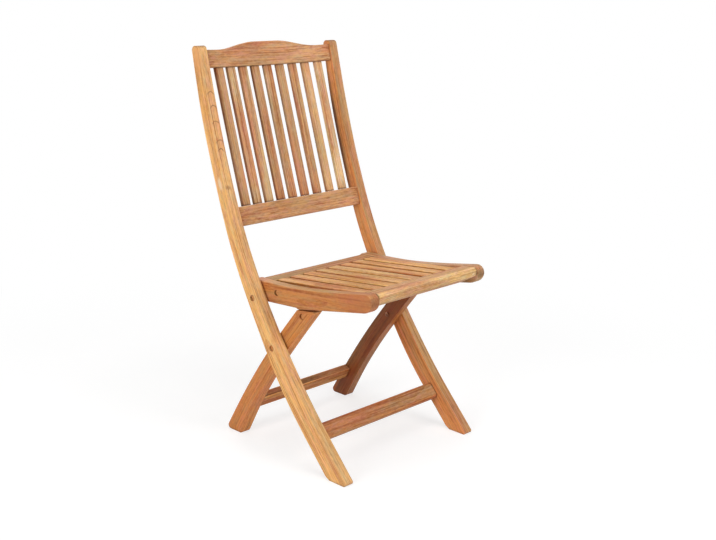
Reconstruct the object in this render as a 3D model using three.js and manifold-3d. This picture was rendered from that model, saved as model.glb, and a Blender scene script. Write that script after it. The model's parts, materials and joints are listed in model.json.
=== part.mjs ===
// A folding side chair in teak. Two curved front posts run from the front feet to the
// top of the back, two rear legs cross them, and a slatted seat swings between them.
// Millimetres, +Z up. The sitter faces -Y, and the sitter's right is -X.
// Most shapes are side outlines of (y, z) points, given a thickness along X.

import * as THREE from "three";
import { mergeVertices } from "three/addons/utils/BufferGeometryUtils.js";
import Module from "manifold-3d";

const wasm = await Module();
wasm.setup();

// Widths across the chair
const chairWidth = 444;
const postThickness = 25;
const sideGap = 4.5;
const sideBoardThickness = 25;

// Clearances
const jointGap = 0.3;
const boltFit = 0.4;
const weldDistance = 0.0001;

// Posts, each one curved board that is both front leg and back upright
const postHeight = 900;
const postRun = 484.5;
const postFootBreadth = 60.8;
const postFootRadius = 5;
const postTopRadius = 10;
const postRunShares = [0, 0.2844, 0.5071, 0.6858, 0.8144, 0.9181, 1];
const postBreadthShares = [1, 0.955, 0.7255, 0.611, 0.517, 0.482, 0.367];

// Rear legs, which cross the posts at a bolt and end under the seat's side rails
const legReachPastPivot = 8;
const legRun = 239.2;
const legFootBreadth = 52.8;
const legFootRadius = 8;
const legTopGap = 1.6;
const legRunShares = [0, 0.2065, 0.444, 0.715, 1.008];
const legBreadthShares = [1, 0.913, 0.905, 0.94, 0.93];

// Pivots: the seat on the posts, and the rear legs on the posts
const seatPivotHeight = 357;
const crossingUnderPivot = 102.5;

// Seat side rails, measured from their rear ends
const railTail = 38.4;
const railTopAbovePivot = 34.5;
const railRise = 47.2;
const railUnderPivot = 14;
const railStepDepth = 44.7;
const railFrontDepth = 47.5;
const railNoseDepth = 44.5;
const railStepForward = 111;
const railStepRun = 4.5;
const railNoseTopRadius = 19;
const railNoseLowRadius = 30;
const railTailRadius = 16;
const railNoseOverhang = 20.5;
const railNoseRake = 30;
const railTopShares = [0, 0.047, 0.171, 0.407, 0.696, 1];

// Seat cross rails and slats, which lie a little under the tops of the side rails
const rearRailDrop = 1.3;
const frontRailDrop = 0.2;
const slatRearDrop = 0.5;
const slatFrontDrop = 4.6;
const rearRailInset = 15;
const rearRailDepth = 37;
const rearRailHeight = 36;
const crossRailRadius = 3;
const frontRailDepth = 44.5;
const frontRailHeight = 40;
const frontRailNoseDrop = 2.5;
const frontRailNoseHeight = 22;
const frontRailNoseRake = 4;
const frontRailTopRadius = 9;
const frontRailLowRadius = 10;
const seatSlatCount = 8;
const seatSlatLength = 275;
const seatSlatWidth = 29;
const seatSlatSideGap = 9.5;
const seatSlatThickness = 12;

// Lower back rail and crest rail, which lean back and curve to the rear in the middle
const backArch = 17.2;
const backRailThickness = 19;
const lowerRailShare = 0.2488;
const lowerRailSetback = 6.7;
const lowerRailHeight = 44.8;
const lowerRailLean = 17.1;
const crestDrop = 47.1;
const crestSetback = 3.8;
const crestThickness = 18;
const crestLean = 13.8;
const crestShoulder = 39.8;
const crestHump = 16.7;
const crestShoulderRun = 38;
const crestFallShare = 0.786;

// Back slats
const backSlatCount = 9;
const backSlatWidth = 23;
const backSlatThickness = 9.7;
const backSlatEndGap = 26.1;
const backSlatFootSetback = 4.9;
const backSlatTopSetback = 2.1;
const backSlatBow = 0.6;

// Stretchers
const frontStretcherHeight = 87;
const frontStretcherSetback = 6.9;
const frontStretcherBreadth = 39;
const frontStretcherThickness = 24;
const frontStretcherRadius = 7;
const rearStretcherHeight = 63.5;
const rearStretcherBreadth = 31;
const rearStretcherThickness = 20;
const rearStretcherRadius = 3;

// Pivot bolts, washers and the wooden plugs over the bolt heads
const boltRadius = 4;
const boltHeadInset = 0.7;
const boltHeadThickness = 4;
const boltEndRadius = 5.5;
const boltEndThickness = 3;
const seatBoltWall = 5;
const washerRadius = 10;
const plugRadius = 6.7;
const plugDepth = 5;
const plugSunk = 1.6;
const plugChamfer = 0.5;
const cutOverrun = 2;

// Hidden metal links that tie the seat rails to the rear legs
const linkThickness = 3;
const linkGap = 1;
const linkWidth = 14;
const linkPinRadius = 3;
const linkHeadRadius = 5.5;
const linkHeadThickness = 2;
const linkPinGrip = 14;
const linkSeatPinForward = 47;
const linkSeatPinRise = 17;
const linkLegPinUnderPivot = 19;

// Smoothness
const postSteps = 45;
const legSteps = 18;
const railSteps = 24;
const slatSteps = 12;
const fallSteps = 12;
const archSteps = 16;
const arcSteps = 6;
const roundSides = 24;
const slopeShare = 0.01;

// Layers, as distances from the middle of the chair
const postOuter = chairWidth / 2;
const postInner = postOuter - postThickness;
const boardOuter = postInner - sideGap;
const boardInner = boardOuter - sideBoardThickness;
const linkOuter = boardInner - linkGap;
const linkInner = linkOuter - linkThickness;
const sides = { right: -1, left: 1 };

// Heights and widths that follow from other sizes
const crossingHeight = seatPivotHeight - crossingUnderPivot;
const railTailTop = seatPivotHeight + railTopAbovePivot;
const legHeight = seatPivotHeight + legReachPastPivot;
const linkLegPinHeight = seatPivotHeight - linkLegPinUnderPivot;
const crestStart = postHeight - crestDrop;
const lowerRailStart = railTailTop + lowerRailShare * (crestStart - railTailTop);
const crestFallRun = crestFallShare * (postInner - crestShoulderRun);
const crestHumpHalf = postInner - crestShoulderRun - crestFallRun;
const backSlatRun = 2 * (postInner - backSlatEndGap) - backSlatWidth;
const backSlatPitch = backSlatRun / (backSlatCount - 1);
const seatSlatRun = 2 * (boardInner - seatSlatSideGap) - seatSlatWidth;
const seatSlatPitch = seatSlatRun / (seatSlatCount - 1);
const boltHeadRadius = plugRadius - boltHeadInset;
const railTailDepth = railTopAbovePivot + railUnderPivot;

const teak = {
  gold: 0xc28f58,
  pink: 0xb27f5c,
  orange: 0xb0743f,
  tan: 0xc49b6d,
  red: 0x8c5334,
  plug: 0x7a4a2b,
};

function woodMaterial(color) {
  return new THREE.MeshStandardMaterial({ color, roughness: 0.6, metalness: 0 });
}

function steelMaterial() {
  return new THREE.MeshStandardMaterial({ color: 0xb9a99a, roughness: 0.35, metalness: 0.9 });
}

// Value at a share from 0 to 1, on a smooth curve through values set at equal steps.
function smoothAt(values, share) {
  const last = values.length - 1;
  const place = share * last;
  const i = Math.min(Math.max(Math.floor(place), 0), last - 1);
  const u = place - i;
  const b = values[i];
  const c = values[i + 1];
  const a = i > 0 ? values[i - 1] : 2 * b - c;
  const d = i + 2 <= last ? values[i + 2] : 2 * c - b;
  const slope = (c - a) / 2;
  const bend = (2 * a - 5 * b + 4 * c - d) / 2;
  const twist = (3 * b - 3 * c + d - a) / 2;
  return b + slope * u + bend * u * u + twist * u * u * u;
}

// The middle of a post and the middle of a rear leg, at a height
const postFootMiddle = -postRun * smoothAt(postRunShares, crossingHeight / postHeight);
const legCrossingShare = smoothAt(legRunShares, crossingHeight / legHeight);

function postMiddle(z) {
  return postFootMiddle + postRun * smoothAt(postRunShares, z / postHeight);
}

function postHalf(z) {
  return (postFootBreadth * smoothAt(postBreadthShares, z / postHeight)) / 2;
}

function legMiddle(z) {
  return legRun * (legCrossingShare - smoothAt(legRunShares, z / legHeight));
}

function legHalf(z) {
  return (legFootBreadth * smoothAt(legBreadthShares, z / legHeight)) / 2;
}

// Fixed points in the side view. The crossing bolt is the zero of y.
const crossing = new THREE.Vector2(0, crossingHeight);
const seatPivot = new THREE.Vector2(postMiddle(seatPivotHeight), seatPivotHeight);
const linkSeatPin = new THREE.Vector2(
  seatPivot.x - linkSeatPinForward,
  seatPivot.y + linkSeatPinRise,
);
const linkLegPin = new THREE.Vector2(legMiddle(linkLegPinHeight), linkLegPinHeight);

// Places along the seat, from rear to front
const railTailY = seatPivot.x + railTail;
const rearRailRear = railTailY - rearRailInset;
const rearRailFront = rearRailRear - rearRailDepth;
const frontRailRear = rearRailFront - seatSlatLength;
const frontRailNose = frontRailRear - frontRailDepth;
const railNoseY = frontRailNose - railNoseOverhang;
const railLength = railTailY - railNoseY;

function railTop(y) {
  return railTailTop + railRise * smoothAt(railTopShares, (railTailY - y) / railLength);
}

// A point and the directions along and square to a board's middle line, at a height.
function boardFrame(middle, z, height) {
  const step = slopeShare * height;
  const along = new THREE.Vector2(middle(z + step) - middle(z - step), 2 * step).normalize();
  const square = new THREE.Vector2(along.y, -along.x);
  return { point: new THREE.Vector2(middle(z), z), along, square };
}

// The same outline with chosen corners rounded. Each point may carry a radius.
function roundCorners(points) {
  const out = [];
  points.forEach((p, i) => {
    if (!p.radius) {
      out.push(p);
      return;
    }
    const before = points[(i + points.length - 1) % points.length];
    const after = points[(i + 1) % points.length];
    const back = before.clone().sub(p).normalize();
    const on = after.clone().sub(p).normalize();
    const half = back.angleTo(on) / 2;
    const cut = p.radius / Math.tan(half);
    const heart = p.clone().addScaledVector(back.clone().add(on).normalize(), p.radius / Math.sin(half));
    const from = p.clone().addScaledVector(back, cut).sub(heart);
    const to = p.clone().addScaledVector(on, cut).sub(heart);
    const turn = Math.atan2(from.cross(to), from.dot(to));
    for (let k = 0; k <= arcSteps; k += 1) {
      out.push(from.clone().rotateAround(new THREE.Vector2(), (turn * k) / arcSteps).add(heart));
    }
  });
  return out;
}

function corner(y, z, radius) {
  const p = new THREE.Vector2(y, z);
  p.radius = radius;
  return p;
}

// Turns shape axes (x, y, depth) into chair axes (y, z, x).
const acrossBasis = new THREE.Matrix4().makeBasis(
  new THREE.Vector3(0, 1, 0),
  new THREE.Vector3(0, 0, 1),
  new THREE.Vector3(1, 0, 0),
);

// A side outline given a thickness along X, centred on x = 0.
function acrossBoard(points, thickness) {
  const shape = new THREE.Shape(points);
  const geometry = new THREE.ExtrudeGeometry(shape, { depth: thickness, bevelEnabled: false });
  geometry.translate(0, 0, -thickness / 2);
  return geometry.applyMatrix4(acrossBasis);
}

// A turned piece around X, from (radius, x) points that start and end on the axis.
function turned(points) {
  const profile = points.map(([radius, x]) => new THREE.Vector2(radius, x));
  const geometry = new THREE.LatheGeometry(profile, roundSides);
  return geometry.rotateZ(-Math.PI / 2);
}

// A straight rod around X from one x to another, at a (y, z) place.
function rod(radius, fromX, toX, place) {
  const low = Math.min(fromX, toX);
  const high = Math.max(fromX, toX);
  const geometry = new THREE.CylinderGeometry(radius, radius, high - low, roundSides);
  geometry.rotateZ(-Math.PI / 2);
  return geometry.translate((low + high) / 2, place.x, place.y);
}

function toSolid(geometry) {
  const bare = geometry.clone();
  bare.deleteAttribute("normal");
  bare.deleteAttribute("uv");
  const merged = mergeVertices(bare, weldDistance);
  return new wasm.Manifold(
    new wasm.Mesh({
      numProp: 3,
      vertProperties: new Float32Array(merged.attributes.position.array),
      triVerts: new Uint32Array(merged.index.array),
    }),
  );
}

function toGeometry(solid) {
  const mesh = solid.getMesh();
  const geometry = new THREE.BufferGeometry();
  geometry.setAttribute("position", new THREE.BufferAttribute(mesh.vertProperties, 3));
  geometry.setIndex(new THREE.BufferAttribute(mesh.triVerts, 1));
  geometry.computeVertexNormals();
  return geometry;
}

function cutAway(geometry, cutters) {
  const solid = cutters.reduce((rest, cutter) => rest.subtract(toSolid(cutter)), toSolid(geometry));
  return toGeometry(solid);
}

function addPiece(group, name, geometry, material, x) {
  const mesh = new THREE.Mesh(geometry, material);
  mesh.name = name;
  mesh.position.x = x;
  group.add(mesh);
}

// Up one edge of a curved board and down the other, with its four corners rounded.
function curvedBoard(middle, half, top, steps, footRadius, topRadius) {
  const up = [];
  const down = [];
  for (let i = 0; i <= steps; i += 1) {
    const z = (top * i) / steps;
    const radius = i === 0 ? footRadius : i === steps ? topRadius : 0;
    up.push(corner(middle(z) - half(z), z, radius));
    down.unshift(corner(middle(z) + half(z), z, radius));
  }
  return roundCorners([...down, ...up]);
}

// A rectangle section, set square to a board's middle line, with rounded corners.
function sectionAt(frame, setback, breadth, thickness, radius) {
  const heart = frame.point.clone().addScaledVector(frame.square, setback);
  const signs = [[1, -1], [-1, -1], [-1, 1], [1, 1]];
  const points = signs.map(([alongSign, squareSign]) => {
    const p = heart
      .clone()
      .addScaledVector(frame.along, (alongSign * breadth) / 2)
      .addScaledVector(frame.square, (squareSign * thickness) / 2);
    return corner(p.x, p.y, radius);
  });
  return roundCorners(points);
}

// A hole that goes right through a side board, and a round pocket in its outer face.
function throughHole(place, radius, thickness) {
  const reach = thickness / 2 + cutOverrun;
  return rod(radius, -reach, reach, place);
}

function outerPocket(place, side, depth, thickness) {
  const face = thickness / 2;
  return rod(plugRadius + jointGap, side * (face + cutOverrun), side * (face - depth), place);
}

function makePost(side) {
  const outline = curvedBoard(
    postMiddle, postHalf, postHeight, postSteps, postFootRadius, postTopRadius);
  const boreDepth = plugDepth + boltHeadThickness + 2 * jointGap;
  const cutters = [crossing, seatPivot].flatMap((place) => [
    throughHole(place, boltRadius + boltFit, postThickness),
    outerPocket(place, side, boreDepth, postThickness),
  ]);
  return cutAway(acrossBoard(outline, postThickness), cutters);
}

// The underside of a side rail: a shallow rear part and a deeper, tapered front part.
const railStepY = seatPivot.x - railStepForward;

function railFrontUnder(y) {
  const share = (railStepY - y) / (railStepY - railNoseY);
  return railTop(y) - railFrontDepth + (railFrontDepth - railNoseDepth) * share;
}

function railRearUnder(y) {
  const share = (railTailY - y) / (railTailY - railStepY);
  return railTop(y) - railTailDepth + (railTailDepth - railStepDepth) * share;
}

function railOutline() {
  const top = [];
  for (let i = 1; i < railSteps; i += 1) {
    const y = railTailY - (railLength * i) / railSteps;
    top.push(corner(y, railTop(y), 0));
  }
  const noseTop = corner(railNoseY, railTop(railNoseY), railNoseTopRadius);
  const rake = Math.tan(THREE.MathUtils.degToRad(railNoseRake));
  const noseLowY = railNoseY + railNoseDepth * rake;
  const noseLow = corner(noseLowY, railFrontUnder(noseLowY), railNoseLowRadius);
  const stepFront = railStepY - railStepRun;
  return roundCorners([
    corner(railTailY, railTailTop, railTailRadius),
    ...top.filter((p) => p.x > railNoseY + 2 * railNoseTopRadius && p.x < railTailY - railTailRadius),
    noseTop,
    noseLow,
    corner(stepFront, railFrontUnder(stepFront), 0),
    corner(railStepY, railRearUnder(railStepY), 0),
    corner(railTailY, railRearUnder(railTailY), railTailRadius),
  ]);
}

function makeSideRail(side) {
  const cutters = [
    seatBoltHole(side),
    outerPocket(linkSeatPin, side, plugDepth + jointGap, sideBoardThickness),
    linkPinHole(side),
  ];
  return cutAway(acrossBoard(railOutline(), sideBoardThickness), cutters);
}

// The seat bolt ends inside the side rail, with a wall of wood left behind it.
function seatBoltHole(side) {
  const face = sideBoardThickness / 2;
  const bottom = seatBoltWall - jointGap - face;
  return rod(boltRadius + boltFit, side * (face + cutOverrun), side * bottom, seatPivot);
}

function linkPinHole(side) {
  const face = sideBoardThickness / 2;
  const bottom = linkPinGrip + jointGap - face;
  return rod(linkPinRadius + boltFit, -side * (face + cutOverrun), side * bottom, linkSeatPin);
}

function makeFrontRail() {
  const top = railTop(frontRailRear) - frontRailDrop;
  const noseTop = railTop(frontRailNose) - frontRailDrop - frontRailNoseDrop;
  const outline = roundCorners([
    corner(frontRailRear, top, 0),
    corner(frontRailNose, noseTop, frontRailTopRadius),
    corner(frontRailNose + frontRailNoseRake, noseTop - frontRailNoseHeight, frontRailLowRadius),
    corner(frontRailRear, top - frontRailHeight, crossRailRadius),
  ]);
  return acrossBoard(outline, 2 * (boardInner - jointGap));
}

function makeRearRail() {
  const rearTop = railTop(rearRailRear) - rearRailDrop;
  const frontTop = railTop(rearRailFront) - rearRailDrop;
  const outline = roundCorners([
    corner(rearRailRear, rearTop, crossRailRadius),
    corner(rearRailFront, frontTop, 0),
    corner(rearRailFront, frontTop - rearRailHeight, crossRailRadius),
    corner(rearRailRear, rearTop - rearRailHeight, crossRailRadius),
  ]);
  return acrossBoard(outline, 2 * (boardInner - jointGap));
}

// A straight board from the rear rail to the front rail.
function makeSeatSlat() {
  const rear = rearRailFront - jointGap;
  const front = frontRailRear + jointGap;
  const rearTop = railTop(rearRailFront) - slatRearDrop;
  const frontTop = railTop(frontRailRear) - slatFrontDrop;
  const outline = [
    new THREE.Vector2(rear, rearTop),
    new THREE.Vector2(front, frontTop),
    new THREE.Vector2(front, frontTop - seatSlatThickness),
    new THREE.Vector2(rear, rearTop - seatSlatThickness),
  ];
  return acrossBoard(outline, seatSlatWidth);
}

// A rear leg, cut off along the side rail's underside.
function makeRearLeg(side) {
  const outline = curvedBoard(legMiddle, legHalf, legHeight, legSteps, legFootRadius, 0);
  const reach = 2 * legFootBreadth;
  const lid = [legMiddle(legHeight) + reach, legMiddle(legHeight) - reach];
  const above = legHeight + reach;
  const cutOutline = [corner(lid[0], above, 0)];
  for (let i = 0; i <= slatSteps; i += 1) {
    const y = lid[0] + ((lid[1] - lid[0]) * i) / slatSteps;
    cutOutline.push(corner(y, railFrontUnder(y) - legTopGap, 0));
  }
  cutOutline.push(corner(lid[1], above, 0));
  const cutters = [
    acrossBoard(cutOutline, sideBoardThickness + 2 * cutOverrun),
    throughHole(crossing, boltRadius + boltFit, sideBoardThickness),
    outerPocket(linkLegPin, side, plugDepth + jointGap, sideBoardThickness),
  ];
  return cutAway(acrossBoard(outline, sideBoardThickness), cutters);
}

function makeFrontStretcher() {
  const frame = boardFrame(postMiddle, frontStretcherHeight, postHeight);
  const outline = sectionAt(
    frame, frontStretcherSetback, frontStretcherBreadth, frontStretcherThickness,
    frontStretcherRadius);
  return acrossBoard(outline, 2 * (postInner - jointGap));
}

// The rear stretcher lies flush with the upper faces of the rear legs.
function makeRearStretcher() {
  const frame = boardFrame(legMiddle, rearStretcherHeight, legHeight);
  const setback = legHalf(rearStretcherHeight) * frame.along.y - rearStretcherThickness / 2;
  const outline = sectionAt(
    frame, setback, rearStretcherBreadth, rearStretcherThickness, rearStretcherRadius);
  return acrossBoard(outline, 2 * (boardInner - jointGap));
}

// How far to the rear the back curves at a distance from the middle of the chair
function archBack(x) {
  return backArch * (1 - (x / postInner) ** 2);
}

// A board that curves in plan: its front face follows the arch, with its lower front
// edge on the board's own origin at the posts. Its axes are x, the way up and the front.
function archedBoard(height, thickness) {
  const reach = postInner - jointGap;
  const front = [];
  const rear = [];
  for (let i = 0; i <= archSteps; i += 1) {
    const x = reach * ((2 * i) / archSteps - 1);
    front.unshift(new THREE.Vector2(x, -archBack(x)));
    rear.push(new THREE.Vector2(x, -archBack(x) - thickness));
  }
  const shape = new THREE.Shape([...rear, ...front]);
  const geometry = new THREE.ExtrudeGeometry(shape, { depth: height, bevelEnabled: false });
  geometry.rotateX(Math.PI / 2);
  return geometry.translate(0, height, 0);
}

const lowerRailFront = {
  y: postMiddle(lowerRailStart) - postHalf(lowerRailStart) + lowerRailSetback,
  z: lowerRailStart,
  lean: THREE.MathUtils.degToRad(lowerRailLean),
};
const crestFront = {
  y: postMiddle(crestStart) - postHalf(crestStart) + crestSetback,
  z: crestStart,
  lean: THREE.MathUtils.degToRad(crestLean),
};

// A point on a leaning board: a way up its front face, then a way back through it.
function onBoard(board, up, back) {
  const sine = Math.sin(board.lean);
  const cosine = Math.cos(board.lean);
  return new THREE.Vector2(
    board.y + up * sine + back * cosine,
    board.z + up * cosine - back * sine,
  );
}

function makeLowerRail() {
  return archedBoard(lowerRailHeight, backRailThickness);
}

// The crest rail's top edge falls in an S curve from a raised middle to level shoulders.
function makeCrestRail() {
  const reach = postInner;
  const points = [
    new THREE.Vector2(-reach, -cutOverrun),
    new THREE.Vector2(reach, -cutOverrun),
    new THREE.Vector2(reach, crestShoulder),
  ];
  for (let i = 0; i <= fallSteps; i += 1) {
    points.push(crestFallPoint(1 - i / fallSteps, 1));
  }
  for (let i = 0; i <= fallSteps; i += 1) {
    points.push(crestFallPoint(i / fallSteps, -1));
  }
  points.push(new THREE.Vector2(-reach, crestShoulder));
  const depth = crestThickness + backArch + 2 * cutOverrun;
  const front = new THREE.ExtrudeGeometry(new THREE.Shape(points), { depth, bevelEnabled: false });
  front.translate(0, 0, cutOverrun - depth);
  const blank = archedBoard(crestShoulder + crestHump + cutOverrun, crestThickness);
  return toGeometry(toSolid(blank).intersect(toSolid(front)));
}

function crestFallPoint(share, side) {
  const x = crestHumpHalf + crestFallRun * share;
  const rise = (crestHump * (1 + Math.cos(Math.PI * share))) / 2;
  return new THREE.Vector2(side * x, crestShoulder + rise);
}

// A slat at a distance from the middle, set back with the arch of the rails.
function makeBackSlat(x) {
  const foot = lowerRailHeight + jointGap;
  const footBack = archBack(x) + backSlatFootSetback;
  const topBack = archBack(x) + backSlatTopSetback;
  const low = onBoard(lowerRailFront, foot, footBack);
  const high = onBoard(crestFront, -jointGap, topBack);
  const lowRear = onBoard(lowerRailFront, foot, footBack + backSlatThickness);
  const highRear = onBoard(crestFront, -jointGap, topBack + backSlatThickness);
  const chord = high.clone().sub(low).normalize();
  const square = new THREE.Vector2(chord.y, -chord.x);
  const front = [];
  const rear = [];
  for (let i = 0; i <= slatSteps; i += 1) {
    const share = i / slatSteps;
    const bow = backSlatBow * 4 * share * (1 - share);
    front.push(low.clone().lerp(high, share).addScaledVector(square, bow));
    rear.unshift(lowRear.clone().lerp(highRear, share).addScaledVector(square, bow));
  }
  return acrossBoard([...rear, ...front], backSlatWidth);
}

// Bolts, pins, washers and plugs are turned around X and drawn for the left side.
function boltShankAndHead(start) {
  const headOuter = postOuter - plugDepth - jointGap;
  const headInner = headOuter - boltHeadThickness;
  return [
    [boltRadius, start],
    [boltRadius, headInner],
    [boltHeadRadius, headInner],
    [boltHeadRadius, headOuter],
    [0, headOuter],
  ];
}

function makeSeatBolt() {
  const start = boardInner + seatBoltWall;
  return turned([[0, start], ...boltShankAndHead(start)]);
}

// The crossing bolt goes right through the rear leg and shows a round end inside it.
function makeCrossingBolt() {
  const end = boardInner - jointGap;
  return turned([
    [0, end - boltEndThickness],
    [boltEndRadius, end - boltEndThickness],
    [boltEndRadius, end],
    ...boltShankAndHead(end),
  ]);
}

function makeWasher() {
  const inner = boardOuter + jointGap;
  const outer = postInner - jointGap;
  const bore = boltRadius + boltFit;
  return turned([
    [bore, inner],
    [washerRadius, inner],
    [washerRadius, outer],
    [bore, outer],
    [bore, inner],
  ]);
}

function makePlug(face) {
  const bottom = face - plugDepth;
  const top = face - plugSunk;
  return turned([
    [0, bottom],
    [plugRadius, bottom],
    [plugRadius, top - plugChamfer],
    [plugRadius - plugChamfer, top],
    [0, top],
  ]);
}

// A link pin with its head inside the link, and a shank that ends at a given x.
function makeLinkPin(end) {
  const headOuter = linkInner - jointGap;
  const headInner = headOuter - linkHeadThickness;
  return turned([
    [0, headInner],
    [linkHeadRadius, headInner],
    [linkHeadRadius, headOuter],
    [linkPinRadius, headOuter],
    [linkPinRadius, end],
    [0, end],
  ]);
}

function makeLink() {
  const along = linkLegPin.clone().sub(linkSeatPin);
  const heading = Math.atan2(along.y, along.x);
  const ends = [
    [linkSeatPin, heading + Math.PI / 2],
    [linkLegPin, heading - Math.PI / 2],
  ];
  const shape = new THREE.Shape();
  ends.forEach(([pin, start]) => {
    shape.absarc(pin.x, pin.y, linkWidth / 2, start, start + Math.PI, false);
  });
  const eyes = ends.map(([pin]) => {
    const eye = new THREE.Path();
    eye.absarc(pin.x, pin.y, linkPinRadius + boltFit, 0, 2 * Math.PI, true);
    return eye;
  });
  shape.holes.push(...eyes);
  const settings = { depth: linkThickness, bevelEnabled: false, curveSegments: roundSides / 2 };
  const geometry = new THREE.ExtrudeGeometry(shape, settings);
  geometry.translate(0, 0, -linkThickness / 2);
  return geometry.applyMatrix4(acrossBasis);
}

function addTurned(group, name, geometry, material, place, side) {
  const mesh = new THREE.Mesh(geometry, material);
  mesh.name = name;
  mesh.position.set(0, place.x, place.y);
  mesh.rotation.y = side < 0 ? Math.PI : 0;
  group.add(mesh);
}

function addLeaning(group, name, geometry, material, board) {
  const mesh = new THREE.Mesh(geometry, material);
  mesh.name = name;
  mesh.position.set(0, board.y, board.z);
  mesh.rotation.x = Math.PI / 2 - board.lean;
  group.add(mesh);
}

function makeLongFrame() {
  const group = new THREE.Group();
  const postMiddleX = (postOuter + postInner) / 2;
  for (const [sideName, side] of Object.entries(sides)) {
    addPiece(group, `post_${sideName}`, makePost(side), woodMaterial(teak.gold), side * postMiddleX);
    const pivots = [["seat", seatPivot, makeSeatBolt()], ["crossing", crossing, makeCrossingBolt()]];
    for (const [pivotName, place, bolt] of pivots) {
      const label = `${pivotName}_${sideName}`;
      addTurned(group, `bolt_${label}`, bolt, steelMaterial(), place, side);
      addTurned(group, `washer_${label}`, makeWasher(), steelMaterial(), place, side);
      addTurned(group, `plug_${label}`, makePlug(postOuter), woodMaterial(teak.plug), place, side);
    }
  }
  addLeaning(group, "crest_rail", makeCrestRail(), woodMaterial(teak.pink), crestFront);
  addLeaning(group, "lower_back_rail", makeLowerRail(), woodMaterial(teak.orange), lowerRailFront);
  for (let i = 0; i < backSlatCount; i += 1) {
    const x = (i - (backSlatCount - 1) / 2) * backSlatPitch;
    addPiece(group, `back_slat_${i + 1}`, makeBackSlat(x), woodMaterial(teak.orange), x);
  }
  addPiece(group, "front_stretcher", makeFrontStretcher(), woodMaterial(teak.red), 0);
  return group;
}

function makeSeatFrame() {
  const group = new THREE.Group();
  const boardMiddleX = (boardOuter + boardInner) / 2;
  for (const [sideName, side] of Object.entries(sides)) {
    const x = side * boardMiddleX;
    addPiece(group, `seat_side_rail_${sideName}`, makeSideRail(side), woodMaterial(teak.orange), x);
    const plug = makePlug(boardOuter);
    const pin = makeLinkPin(boardInner + linkPinGrip);
    addTurned(group, `plug_link_seat_${sideName}`, plug, woodMaterial(teak.plug), linkSeatPin, side);
    addTurned(group, `link_seat_pin_${sideName}`, pin, steelMaterial(), linkSeatPin, side);
  }
  addPiece(group, "seat_front_rail", makeFrontRail(), woodMaterial(teak.tan), 0);
  addPiece(group, "seat_rear_rail", makeRearRail(), woodMaterial(teak.tan), 0);
  for (let i = 0; i < seatSlatCount; i += 1) {
    const x = (i - (seatSlatCount - 1) / 2) * seatSlatPitch;
    addPiece(group, `seat_slat_${i + 1}`, makeSeatSlat(), woodMaterial(teak.tan), x);
  }
  return group;
}

function makeRearLegFrame() {
  const group = new THREE.Group();
  const boardMiddleX = (boardOuter + boardInner) / 2;
  for (const [sideName, side] of Object.entries(sides)) {
    const x = side * boardMiddleX;
    addPiece(group, `rear_leg_${sideName}`, makeRearLeg(side), woodMaterial(teak.gold), x);
    const plug = makePlug(boardOuter);
    addTurned(group, `plug_link_leg_${sideName}`, plug, woodMaterial(teak.plug), linkLegPin, side);
  }
  addPiece(group, "rear_stretcher", makeRearStretcher(), woodMaterial(teak.orange), 0);
  return group;
}

// Each link swings on its seat pin, and carries the pin that meets the rear leg.
function makeLinks() {
  const group = new THREE.Group();
  const linkMiddleX = (linkOuter + linkInner) / 2;
  for (const [sideName, side] of Object.entries(sides)) {
    addPiece(group, `link_${sideName}`, makeLink(), steelMaterial(), side * linkMiddleX);
    const pin = makeLinkPin(boardInner - jointGap);
    addTurned(group, `link_leg_pin_${sideName}`, pin, steelMaterial(), linkLegPin, side);
  }
  return group;
}

// The whole chair, moved so that the middle of its depth lies on y = 0.
const chair = new THREE.Group();
chair.add(makeLongFrame(), makeSeatFrame(), makeRearLegFrame(), makeLinks());
const extent = new THREE.Box3().setFromObject(chair, true);
chair.position.y = -(extent.min.y + extent.max.y) / 2;

export default chair;
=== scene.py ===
import json
import math

import bmesh
import bpy
from mathutils import Matrix, Vector


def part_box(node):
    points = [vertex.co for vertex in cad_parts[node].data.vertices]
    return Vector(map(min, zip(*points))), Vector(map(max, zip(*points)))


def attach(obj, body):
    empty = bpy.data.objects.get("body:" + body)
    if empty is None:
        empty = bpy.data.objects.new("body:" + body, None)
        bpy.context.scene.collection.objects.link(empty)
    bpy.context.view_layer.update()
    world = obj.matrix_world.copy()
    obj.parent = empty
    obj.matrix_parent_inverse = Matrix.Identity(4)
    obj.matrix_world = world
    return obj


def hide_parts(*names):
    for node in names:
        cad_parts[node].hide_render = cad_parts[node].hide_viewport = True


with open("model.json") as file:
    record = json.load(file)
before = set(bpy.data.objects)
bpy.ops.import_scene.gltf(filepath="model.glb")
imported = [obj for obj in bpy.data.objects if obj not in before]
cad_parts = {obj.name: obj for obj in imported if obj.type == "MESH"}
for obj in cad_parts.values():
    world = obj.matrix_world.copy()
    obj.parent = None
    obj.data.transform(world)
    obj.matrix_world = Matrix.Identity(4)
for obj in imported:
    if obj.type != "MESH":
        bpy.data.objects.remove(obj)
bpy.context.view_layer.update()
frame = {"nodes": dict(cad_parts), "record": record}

# Metres throughout. The sitter faces -Y and the sitter's right is -X.
MM = 0.001

# Camera, solved from the photograph's perspective
CAMERA_PLACE = Vector((-1.908, -1.81261, 1.124))
CAMERA_YAW = math.radians(47.46)
CAMERA_PITCH = math.radians(-15.45)
CAMERA_ROLL = math.radians(2.15)
CAMERA_LENS = 58.53
CAMERA_SENSOR = 36.0

# Light: soft lamps with their place, size and power, and a weak even light from all sides
LAMPS = {
    "left": ((-3.3, -0.4, 1.2), 1.6, 62),
    "front": ((0.6, -3.1, 1.7), 1.8, 49),
    "top": ((-0.3, -0.5, 3.6), 1.8, 41),
    "back": ((1.6, 2.8, 2.4), 2.0, 28),
}
LAMP_TARGET = Vector((0, 0, 0.45))
SKY_STRENGTH = 0.2
WHITE = (1, 1, 1, 1)

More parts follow.
